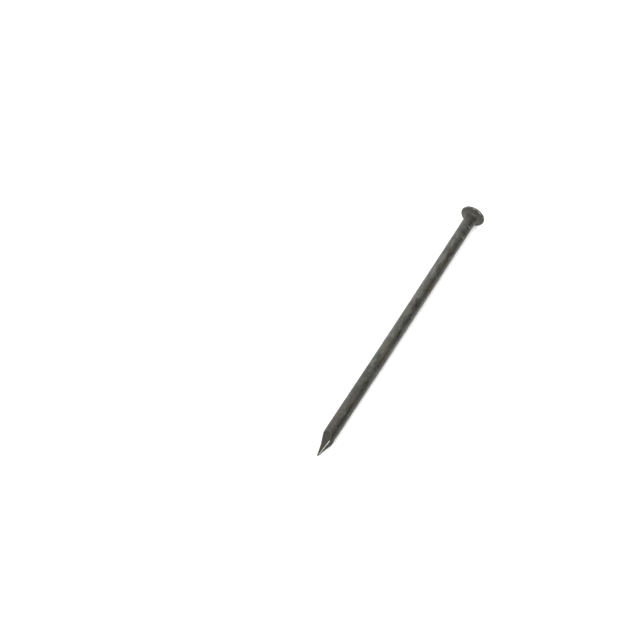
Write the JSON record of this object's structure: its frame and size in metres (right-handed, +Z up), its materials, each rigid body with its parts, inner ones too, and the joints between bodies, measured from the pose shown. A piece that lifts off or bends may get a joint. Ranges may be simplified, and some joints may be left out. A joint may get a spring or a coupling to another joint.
{
  "type": "bent nail",
  "caption": "Plain wire nail of dark drawn steel, gently bent, with a flat round head, ribbed grip marks below it and a faceted point.",
  "frame": {"origin": "middle of the nail's box on the floor that it lies on", "axes": "+X along the nail from its head to its point, and +Z up, on the hollow side of the bend"},
  "size_m": [0.1006, 0.0081, 0.0081],
  "materials": {
    "steel": "dark, dull drawn wire with a thin oily oxide, scuffed lighter on the raised edges"
  },
  "bodies": {
    "root": {"nail": "steel"}
  },
  "joints": []
}
